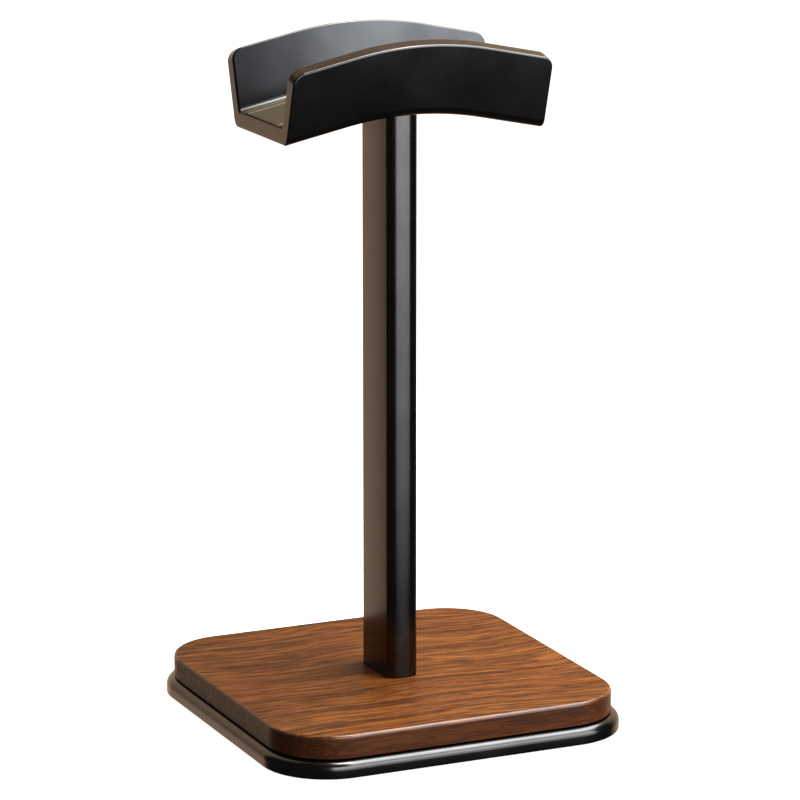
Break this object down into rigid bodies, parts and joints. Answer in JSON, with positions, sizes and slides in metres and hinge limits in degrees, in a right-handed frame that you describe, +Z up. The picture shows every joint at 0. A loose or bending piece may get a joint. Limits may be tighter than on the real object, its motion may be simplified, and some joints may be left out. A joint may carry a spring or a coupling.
{
  "type": "headphone stand",
  "caption": "Tabletop headphone stand: an arched U-channel saddle on a slim upright post, fixed to a square walnut board over a heavy black plate.",
  "frame": {"origin": "centre of the footprint, on the surface that the rubber feet stand on", "axes": "+X along the saddle's channel, -Y towards the front, +Z up along the post"},
  "size_m": [0.125, 0.125, 0.2287],
  "materials": {
    "black_aluminium": "satin black anodised, fine bead-blasted grain",
    "plate_black": "semi-gloss black powder coat",
    "walnut": "oiled walnut, fine straight grain along the front edge, satin",
    "pad_rubber": "soft satin silicone",
    "foot_rubber": "matt moulded rubber",
    "spacer_rubber": "matt closed-cell sheet",
    "black_nylon": "matt glass-filled moulding",
    "insert_brass": "machined, knurled outside",
    "screw_steel": "zinc plated",
    "adhesive_film": "thin double-sided tape"
  },
  "bodies": {
    "root": {"saddle": "black_aluminium", "saddle_pad": "pad_rubber", "saddle_pad_tape": "adhesive_film", "saddle_screws": "screw_steel", "post_tube": "black_aluminium", "post_top_plug": "black_nylon", "post_top_inserts": "insert_brass", "post_bottom_plug": "black_nylon", "post_bottom_inserts": "insert_brass", "wood_board": "walnut", "base_spacer": "spacer_rubber", "base_plate": "plate_black", "post_screws": "screw_steel", "post_screw_washers": "screw_steel", "board_screws": "screw_steel", "foot_front_left": "foot_rubber", "foot_front_right": "foot_rubber", "foot_rear_left": "foot_rubber", "foot_rear_right": "foot_rubber", "foot_tapes": "adhesive_film"}
  },
  "joints": []
}
